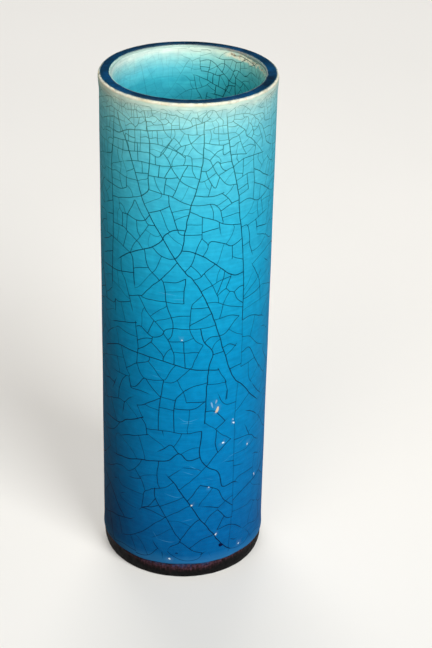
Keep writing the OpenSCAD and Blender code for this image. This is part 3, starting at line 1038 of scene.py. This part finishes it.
def outer_cracks():
    """The crackle of the outer glaze: the routes at the front, long cracks at the back, and what splits the
    rest."""
    net = Crackle(BODY_R, ROLL_TOP, OUTER_TOP, OUTER_CELLS, OUTER_STAIN, seed=11)
    looks = [(WIDE_CRACK, 1, 1)] * len(LONG_CRACKS)
    looks += [(SOFT_CRACK, 0.3, 0.3)] * len(SOFT_CRACKS)
    looks += [(PLAIN_CRACK, 0.6, 1)] * len(FRONT_CRACKS)
    lines = joined(LONG_CRACKS + SOFT_CRACKS + FRONT_CRACKS, BODY_R)
    for (points, free), (width, pale, dark) in zip(lines, looks):
        net.follow(points, free, width, net.random.uniform(pale, dark))
    for start in BACK_CRACKS:
        net.wander(*start)
    net.fill()
    for route in SCRATCHES:
        net.scratch(route)
    return net


def inner_cracks():
    """The crackle of the inner glaze on the wall: the routes at the mouth, long cracks down the rest, and
    what splits it."""
    net = Crackle(INSIDE_R, COIL_Z, INNER_TOP, INNER_CELLS, INNER_CRACK_DARKNESS, seed=5)
    for points, free in joined(INNER_CRACKS, INSIDE_R):
        net.follow(points, free, PLAIN_CRACK, net.random.uniform(*INNER_DARK))
    for angle in range(*DOWN_ANGLES):
        start = angle + net.random.uniform(-DOWN_STRAY, DOWN_STRAY)
        heading = -90 + net.random.uniform(-DOWN_LEAN, DOWN_LEAN)
        net.wander(start, INNER_TOP - DOWN_START, heading, DOWN_LENGTH)
    net.fill()
    return net


def outer_glaze():
    roll = [(r, z, 1) for r, z in arc((CLAY_R, ROLL_TOP), ROLL_R, 0, -90, 6)[1:]]
    flare = [(r, z, 0) for r, z in soft_s((CLAY_R, OUTER_TOP - GLAZE_FADE), (LIP_R, OUTER_TOP))]
    return coat("outer_glaze_coat", outer_cracks(), outer_radius, roll + flare, CHIPS, wave=glaze_wave)


def inner_glaze():
    centre = COIL_R, COIL_Z
    face_z = FLOOR_TOP + GLAZE_T
    outline = arc(centre, COIL_SIZE - GLAZE_T, 0, -90)[1:]
    outline += [(COIL_R / 2, face_z), (0, face_z), (0, FLOOR_TOP), (COIL_R, FLOOR_TOP)]
    outline += arc(centre, COIL_SIZE - GLAZE_T / 2, -90, 0)
    outline += [(BORE_R, COIL_Z), (BORE_R + 2 * FEATHER_SINK, INNER_TOP)]
    back = [(r, z, 0) for r, z in outline]
    return coat("inner_glaze_coat", inner_cracks(), inner_radius, back, inward=True)


def body_wall():
    outline = [(BORE_R, WALL_Z), (CLAY_R, WALL_Z)]
    outline += soft_s((CLAY_R, OUTER_TOP - GLAZE_FADE), (LIP_R, OUTER_TOP))
    outline += arc((BAND_OUT_R, EDGE_Z - LIP_EDGE_OUT), LIP_EDGE_OUT, 0, 90)
    outline += [(BAND_OUT_R, CHANNEL_Z), (BAND_IN_R, CHANNEL_Z)]
    outline += arc((BAND_IN_R, INNER_TOP), LIP_EDGE_IN, 90, 180)
    return turned("lip_and_wall", outline, shake=lip_shake)


def rim_band():
    crown = HEIGHT - EDGE_Z + BAND_EDGE_SINK
    half = (BAND_OUT_R - BAND_IN_R) / 2
    middle = BAND_IN_R + half
    outline = [(BAND_IN_R, CHANNEL_Z), (BAND_OUT_R, CHANNEL_Z)]
    for t in np.linspace(1, -1, BAND_STEPS):
        outline.append((middle + half * t, EDGE_Z - BAND_EDGE_SINK + crown * (1 - t**BAND_FLAT)))
    piece = turned("lip_band", outline, FINE_COLUMNS, band_shake)
    spots = np.array([np.hypot(v.co.x, v.co.y) / MM for v in piece.data.vertices])
    out = abs(spots - middle) / half
    keep_values(piece, "thin", np.clip((out - BAND_THIN_FROM) / BAND_THIN_SPAN, 0, 1))
    return piece


def foot_side(low, high, thick):
    """Points up the tuck of the foot, under a coat of a thickness."""
    tuck_r = (FOOT_TUCK**2 + TUCK_H**2) / (2 * FOOT_TUCK)
    ends = [math.degrees(math.asin((z - TUCK_H) / (tuck_r + thick))) for z in (low, high)]
    return arc((CLAY_R - tuck_r, TUCK_H), tuck_r + thick, *ends)


def foot_wash():
    top = GLAZE_LINE + WASH_LAP
    outline = foot_side(WASH_Z, TUCK_H, WASH_R - CLAY_R)
    outline += [(WASH_R, z) for z in (*WASH_RINGS, top)] + [(CLAY_R, top)]
    outline += foot_side(WASH_Z, TUCK_H, -WASH_SINK)[::-1]
    return turned("foot_wash_coat", outline, FINE_COLUMNS, foot_shake)


def foot_ring():
    foot_r = CLAY_R - FOOT_TUCK
    recess_r = foot_r - FOOT_W
    outline = arc((recess_r + FOOT_ROUND_IN, FOOT_ROUND_IN), FOOT_ROUND_IN, 180, 270, 5)
    outline += arc((foot_r - FOOT_ROUND_OUT, FOOT_ROUND_OUT), FOOT_ROUND_OUT, 270, 340, 5)
    outline += foot_side(WASH_Z, TUCK_H, 0) + [(CLAY_R, FOOT_H), (recess_r - RECESS_DRAFT, FOOT_H)]
    return turned("turned_foot", outline)


def srgb(red, green, blue):
    """A linear colour from sRGB values of 0 to 255."""
    parts = [c / 255 for c in (red, green, blue)]
    return (*(c / 12.92 if c <= 0.04045 else ((c + 0.055) / 1.055) ** 2.4 for c in parts), 1.0)


class Nodes:
    """Short calls that add nodes to a tree."""

    def __init__(self, tree):
        self.tree = tree

    def node(self, kind, **settings):
        made = self.tree.nodes.new(kind)
        for key, value in settings.items():
            setattr(made, key, value)
        return made

    def put(self, socket, value):
        """Links a socket to another, or sets its own value."""
        if isinstance(value, bpy.types.NodeSocket):
            self.tree.links.new(value, socket)
        else:
            socket.default_value = value

    def filled(self, kind, *values, **settings):
        """A node with its first inputs set in order."""
        made = self.node(kind, **settings)
        for socket, value in zip(made.inputs, values):
            self.put(socket, value)
        return made

    def maths(self, operation, a, b=0.0):
        return self.filled("ShaderNodeMath", a, b, operation=operation).outputs[0]

    def add(self, total, *parts):
        for part in parts:
            total = self.maths("ADD", total, part)
        return total

    def times(self, product, *parts):
        for part in parts:
            product = self.maths("MULTIPLY", product, part)
        return product

    def remap(self, value, low, high, to_low=0.0, to_high=1.0):
        return self.filled("ShaderNodeMapRange", value, low, high, to_low, to_high).outputs[0]

    def seen(self):
        """1 where it is looked at, straight, in a mirror or through glass, and 0 where it only lights."""
        path = self.node("ShaderNodeLightPath").outputs
        looks = self.maths("MAXIMUM", path["Is Camera Ray"], path["Is Glossy Ray"])
        return self.maths("MAXIMUM", looks, path["Is Transmission Ray"])


class Finish(Nodes):
    """A procedural material."""

    def __init__(self, name):
        self.material = bpy.data.materials.new(name)
        self.material.use_nodes = True
        super().__init__(self.material.node_tree)
        self.shader = self.tree.nodes["Principled BSDF"]
        self.where = self.node("ShaderNodeTexCoord").outputs["Object"]

    def set(self, name, value):
        self.put(self.shader.inputs[name], value)

    def along_axis(self, name):
        """The place along an axis, in mm."""
        return self.maths("DIVIDE", self.filled("ShaderNodeSeparateXYZ", self.where).outputs[name], MM)

    def scaled(self, *scale):
        """The place, scaled along each axis."""
        return self.filled("ShaderNodeVectorMath", self.where, scale, operation="MULTIPLY").outputs["Vector"]

    def distance(self, a, b):
        """How far apart two places are, in metres."""
        return self.filled("ShaderNodeVectorMath", a, b, operation="DISTANCE").outputs["Value"]

    def noise(self, size, detail=3.0, stretch=(1, 1, 1), rough=0.5):
        """Even noise from 0 to 1, with features of a size in mm, drawn out by stretch."""
        where = self.scaled(*(1 / (size * MM * s) for s in stretch))
        return self.filled("ShaderNodeTexNoise", where, 0.0, 1.0, detail, rough).outputs["Fac"]

    def waver(self, low, high, size, detail=3.0, stretch=(1, 1, 1), spread=0.2):
        """Noise that wavers from low to high."""
        return self.remap(self.noise(size, detail, stretch), 0.5 - spread, 0.5 + spread, low, high)

    def ramp(self, value, stops):
        """A colour ramp over (place, sRGB colour) stops."""
        made = self.filled("ShaderNodeValToRGB", value)
        parts = made.color_ramp.elements
        while len(parts) < len(stops):
            parts.new(1)
        for part, (place, colour) in zip(parts, stops):
            part.position = place
            part.color = srgb(*colour)
        return made.outputs[0]

    def mix(self, share, a, b, blend="MIX"):
        """Two colours mixed, each a socket or sRGB values."""
        made = self.node("ShaderNodeMix", data_type="RGBA", blend_type=blend)
        self.put(made.inputs["Factor"], share)
        for socket, colour in zip(made.inputs[6:8], (a, b)):
            self.put(socket, srgb(*colour) if isinstance(colour, tuple) else colour)
        return made.outputs[2]

    def mottled(self, colour, noise, low, high, dark):
        """The colour, darkened by a shade where the noise is low."""
        return self.mix(1.0, colour, self.ramp(noise, ((low, dark), (high, WHITE))), "MULTIPLY")

    def attribute(self, name):
        return self.node("ShaderNodeAttribute", attribute_name=name).outputs["Fac"]

    def gloss(self, weight):
        """A thin clear coat in place of the shader's own gloss, so that the pale surround doesn't grey the
        colour."""
        self.set("Specular IOR Level", 0.0)
        self.set("Coat Weight", weight)
        self.set("Coat Roughness", 0.12)

    def done(self, colour, rough, relief, height):
        """The material with its colour, its roughness and a relief of a height in mm."""
        made = self.node("ShaderNodeBump")
        self.put(made.inputs["Height"], relief)
        self.put(made.inputs["Distance"], height * MM)
        self.set("Base Color", colour)
        self.set("Roughness", rough)
        self.set("Normal", made.outputs[0])
        return self.material


def streaked(f, colour):
    """The colour with a ragged cream and rust streak just below the lip, at the right of the back."""
    turn = f.maths("ARCTAN2", f.along_axis("X"), f.times(f.along_axis("Y"), -1.0))
    angle = f.maths("DEGREES", turn)
    span = f.times(f.remap(angle, *STREAK_START), f.remap(angle, *STREAK_END, 1.0, 0.0))
    height = f.add(f.along_axis("Z"), f.waver(-0.9, 0.9, 2.6, 4))
    off = f.maths("SUBTRACT", height, INNER_TOP - STREAK_DROP)
    half = f.remap(angle, *STREAK_SWELL, *STREAK_HALF)
    share = f.remap(f.maths("DIVIDE", f.maths("ABSOLUTE", off), half), 0.5, 1.0, 1.0, 0.0)
    cream = f.ramp(f.noise(1.8, 4), CREAM_COLOURS)
    spots = f.times(f.remap(f.noise(2.4, 4, rough=0.6), 0.47, 0.6), f.remap(off, -0.6, 0.3), 0.9)
    return f.mix(f.times(span, share, 0.95), colour, f.mix(spots, cream, RUST))


def glaze_finish(
    name, colours, crack_colours, low, high, gloss, lean=0.0, tint=WHITE, streak=False, edge=None
):
    """Crackle glaze: colours by height, runs and mottling, dark cracks, scratches and chips. Painted light:
    lean makes the left side paler, edge is a painted highlight along the roll at the lower edge, and the
    whitest chips are partly painted glints.
    """
    f = Finish(name)
    height = f.along_axis("Z")
    across = f.along_axis("X")
    run = f.waver(-2, 2, 7, 2, stretch=(1, 1, 12), spread=0.3)
    drift = f.waver(-5, 5, 45, 2, spread=0.3)
    steady = f.remap(height, high - 45, high - 12, 1.0, 0.35)
    uneven = f.times(f.add(run, drift), steady)
    # Painted light: lean lifts the colours towards the paler top on the left (-X) side, a painted sheen where
    # light falls.
    up = f.remap(f.add(height, uneven, f.remap(across, -30, 30, lean, 0.0)), low, high)
    colour = f.ramp(up, colours)
    colour = f.mix(f.remap(across, -10, 30), colour, f.mix(1.0, colour, tint, "MULTIPLY"))
    colour = f.mottled(colour, f.noise(3.5, 5), 0.3, 0.7, (228, 234, 238))
    colour = f.mottled(colour, f.noise(2.2, stretch=(7, 7, 0.5)), 0.35, 0.65, (238, 241, 243))
    if streak:
        colour = streaked(f, colour)
    # edge paints a highlight: a lighter blue along the roll just above the glaze's lower edge.
    if edge:
        colour = f.mix(f.remap(height, low + 1, low + 6, 0.9, 0.0), colour, edge)
    colour = f.mix(f.times(f.attribute("scratch"), 0.55), colour, SCRATCH_COLOUR)
    crack = f.remap(f.attribute("crack"), 0.02, 0.62)
    colour = f.mix(crack, colour, f.ramp(up, crack_colours))
    chip = f.attribute("chip")
    # The whitest chips are partly a painted highlight, standing in for glints.
    bare = f.ramp(f.attribute("white"), CHIP_AND_GLINT_COLOURS)
    colour = f.mix(f.remap(chip, 0.0, 0.5), colour, bare)
    rough = f.maths("MAXIMUM", f.waver(0.1, 0.22, 9, 4), f.times(chip, 0.8))
    f.gloss(gloss)
    return f.done(colour, rough, f.noise(2.2), 0.012)


def outer_finish():
    return glaze_finish(
        "outer_glaze", OUTER_COLOURS, OUTER_CRACK_COLOURS, GLAZE_LINE, OUTER_TOP,
        gloss=0.06, edge=OUTER_ROLL_HIGHLIGHT,
    )


def inner_finish():
    return glaze_finish(
        "inner_glaze", INNER_COLOURS, INNER_CRACK_COLOURS, FLOOR_TOP, INNER_TOP,
        # lean paints the left of the inner wall paler, as painted light.
        gloss=0.15, lean=2.0, tint=WARM_TINT, streak=True,
    )


def clay_finish():
    """Cream clay under a thin clear glaze, grey-green along its edges, with one stain inside the lip. Its
    inner edge has painted light and shade: paler on the left and darker towards the right.
    """
    f = Finish("clay")
    across = f.along_axis("X")
    colour = f.ramp(f.noise(6, 5), CLAY_COLOURS)
    colour = f.mix(f.times(f.remap(f.noise(1.6), 0.6, 0.7), 0.5), colour, CLAY_SPECK)
    film = f.add(f.along_axis("Z"), f.waver(-0.3, 0.3, 3))
    colour = f.mix(f.remap(film, OUTER_TOP + 0.2, OUTER_TOP + 1.0, 0.8, 0.0), colour, CLAY_FILM)
    radius = f.maths("DIVIDE", f.distance(f.scaled(1, 1, 0), (0, 0, 0)), MM)
    ragged = f.add(radius, f.waver(-0.2, 0.2, 2.5))
    # Painted light and shade: the inner edge is paler at the far left and darker towards the right.
    left = f.remap(across, -BORE_R, -0.7 * BORE_R, 1.0, 0.0)
    pale = f.ramp(f.remap(across, -BORE_R, BORE_R), INNER_EDGE_LIT_TO_SHADED)
    run = f.mix(left, BLEED_INSIDE, BLEED_LEFT_PAINTED_LIGHT)
    inner_edge = f.mix(f.remap(radius, BORE_R, BORE_R + 0.3), pale, run)
    colour = f.mix(f.remap(radius, BAND_IN_R, BAND_IN_R + 0.4, 0.85, 0.0), colour, inner_edge)
    beside = f.remap(radius, BAND_OUT_R - 0.3, BAND_OUT_R)
    bleed = f.times(beside, f.remap(ragged, BAND_OUT_R + 0.1, LIP_R - 0.1, 0.9, 0.0))
    colour = f.mix(bleed, colour, BLEED_OUTSIDE)
    stain = tuple(at_angle(BORE_R, math.radians(STAIN_ANGLE), INNER_TOP) * MM)
    near = f.remap(f.maths("DIVIDE", f.distance(f.where, stain), MM), *STAIN_FADE, 1.0, 0.0)
    colour = f.mix(f.times(near, f.remap(f.noise(2.5, 4), 0.36, 0.54), 0.3), colour, CLAY_STAIN)
    f.gloss(0.15)
    return f.done(colour, f.waver(0.18, 0.32, 4), f.noise(1.6), 0.03)


def band_finish():
    """Thick dark blue glaze that breaks to green-blue where it thins at its edges."""
    f = Finish("rim_band")
    colour = f.ramp(f.add(f.times(f.noise(22, 2), 0.65), f.times(f.noise(3, 4), 0.35)), BAND_COLOURS)
    thin = f.times(f.attribute("thin"), f.remap(f.noise(2, 4), 0.35, 0.6))
    f.gloss(0.05)
    return f.done(f.mix(thin, colour, BAND_THIN), f.waver(0.08, 0.2, 3), f.noise(2.5, 2), 0.03)


def wash_finish():
    """Dry wash: purple-brown below the glaze, darker to both sides, with ragged near-black from below that is
    painted shade under the tucked foot.
    """
    f = Finish("foot_wash")
    aside = f.remap(f.maths("ABSOLUTE", f.along_axis("X")), 12, 28, 0.0, -3.0)
    strokes = f.waver(-1.5, 1.5, 1.1, stretch=(1, 1, 5), spread=0.25)
    patches = f.waver(-1.2, 1.2, 9, spread=0.25)
    up = f.add(f.along_axis("Z"), aside, strokes, patches)
    # The near-black low on the ramp is painted shade under the tucked foot.
    colour = f.ramp(f.remap(up, 0, GLAZE_LINE), WASH_AND_SHADE_COLOURS)
    colour = f.mottled(colour, f.noise(1.3, 4), 0.35, 0.62, (140, 140, 140))
    f.set("Specular IOR Level", 0.12)
    return f.done(colour, f.waver(0.6, 0.9, 2), f.noise(0.7, 4), 0.12)


def bare_clay_finish(name, low, high):
    """Fired clay from a low to a high colour, with grit and the rings left by turning."""
    f = Finish(name)
    scale = 0.3 / (2 * MM)
    rings = f.filled("ShaderNodeTexWave", f.where, scale, 1.5, wave_type="RINGS", rings_direction="Z")
    colour = f.ramp(f.noise(5, 5), ((0.3, low), (0.7, high)))
    colour = f.mottled(colour, f.noise(0.8), 0.4, 0.6, (190, 184, 176))
    f.set("Specular IOR Level", 0.25)
    return f.done(colour, f.waver(0.7, 0.95, 2), f.add(rings.outputs["Fac"], f.noise(0.8)), 0.12)


def place(piece, node, slot, finish):
    """Sets a piece's finish, and makes it stand for its node."""
    piece.data.materials.append(finish)
    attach(piece, "root")
    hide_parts(node)


def dress(node, finish):
    """Gives a node that stays as it is a better finish."""
    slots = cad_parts[node].material_slots
    if slots:
        slots[0].material = finish
    else:
        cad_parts[node].data.materials.append(finish)


place(outer_glaze(), "outer_glaze", "outer_glaze", outer_finish())
place(inner_glaze(), "inner_glaze", "inner_glaze", inner_finish())
place(body_wall(), "body_wall", "clay", clay_finish())
place(rim_band(), "rim_band", "rim_band", band_finish())
place(foot_wash(), "foot_wash", "foot_wash", wash_finish())
place(foot_ring(), "foot_ring", "foot_clay", bare_clay_finish("foot_clay", (96, 70, 54), (132, 102, 80)))
dress("floor_disc", bare_clay_finish("floor_clay", (150, 128, 100), (186, 168, 138)))
dress("seam_coil", bare_clay_finish("coil_clay", (176, 158, 128), (206, 192, 164)))


def stage_floor():
    """A large, pale, plain floor that runs into the surround far off."""
    turns = np.linspace(0, 2 * math.pi, FLOOR_SIDES, endpoint=False)
    floor = new_object("floor", at_angle(FLOOR_R, turns, 0.0), [tuple(range(FLOOR_SIDES))])
    f = Finish("floor")
    seen = f.seen()
    far = f.remap(f.distance(f.where, (0, 0, 0)), *FLOOR_FADE)
    plain = f.mix(far, f.ramp(f.noise(400, 2), FLOOR_COLOURS), FLOOR_FAR)
    f.set("Base Color", f.mix(seen, FLOOR_UNSEEN, plain))
    f.set("Emission Color", srgb(*FLOOR_GLOW))
    f.set("Emission Strength", f.times(seen, f.remap(far, 0, 1, *FLOOR_GLOW_RANGE)))
    f.set("Roughness", 0.85)
    f.set("Specular IOR Level", 0.1)
    floor.data.materials.append(f.material)


def surround():
    """A pale surround that adds a little even light."""
    world = bpy.data.worlds.new("surround")
    world.use_nodes = True
    n = Nodes(world.node_tree)
    back = n.tree.nodes["Background"]
    n.put(back.inputs["Color"], srgb(*SURROUND_COLOUR))
    n.put(back.inputs["Strength"], n.remap(n.seen(), 0, 1, *SURROUND_RANGE))
    bpy.context.scene.world = world


def lamp(name, angle, elevation, distance, size, watts, tint, aim_z=HEIGHT / 2, spread=180):
    """A soft square lamp that faces the vase's axis at the height aim_z."""
    light = bpy.data.lights.new(name, "AREA")
    light.size = size
    light.energy = watts
    light.color = srgb(*tint)[:3]
    light.spread = math.radians(spread)
    lit = bpy.data.objects.new(name, light)
    rise = math.radians(elevation)
    way = Vector(at_angle(math.cos(rise), math.radians(angle), math.sin(rise)))
    lit.location = Vector((0, 0, aim_z * MM)) + way * distance
    lit.rotation_euler = way.to_track_quat("Z", "Y").to_euler()
    bpy.context.scene.collection.objects.link(lit)


def camera():
    """The photograph's viewpoint: above the front, turned and tilted slightly."""
    pitch = math.radians(CAMERA_PITCH)
    yaw = math.radians(CAMERA_YAW)
    roll = math.radians(CAMERA_ROLL)
    right = Vector((math.cos(yaw), -math.sin(yaw), 0))
    ahead = Vector((math.sin(yaw) * math.cos(pitch), math.cos(yaw) * math.cos(pitch), -math.sin(pitch)))
    up = right.cross(ahead)
    x_way = right * math.cos(roll) + up * math.sin(roll)
    y_way = up * math.cos(roll) - right * math.sin(roll)
    lens = bpy.data.cameras.new("camera")
    lens.lens = CAMERA_LENS
    lens.sensor_width = CAMERA_SENSOR
    view = bpy.data.objects.new("camera", lens)
    turn = Matrix((x_way, y_way, -ahead)).transposed().to_4x4()
    view.matrix_world = Matrix.Translation(CAMERA_PLACE) @ turn
    bpy.context.scene.collection.objects.link(view)
    bpy.context.scene.camera = view


stage_floor()
surround()
lamp("key", angle=35, elevation=38, distance=3.0, size=1.4, watts=107, tint=(246, 251, 255))
lamp("back", angle=186, elevation=52, distance=3.0, size=1.6, watts=54, tint=WHITE)
lamp(
    "near", angle=-24, elevation=40, distance=0.4, size=0.25, watts=0.17, tint=(255, 250, 240),
    aim_z=240, spread=60,
)
camera()
bpy.context.scene.view_settings.view_transform = "Standard"
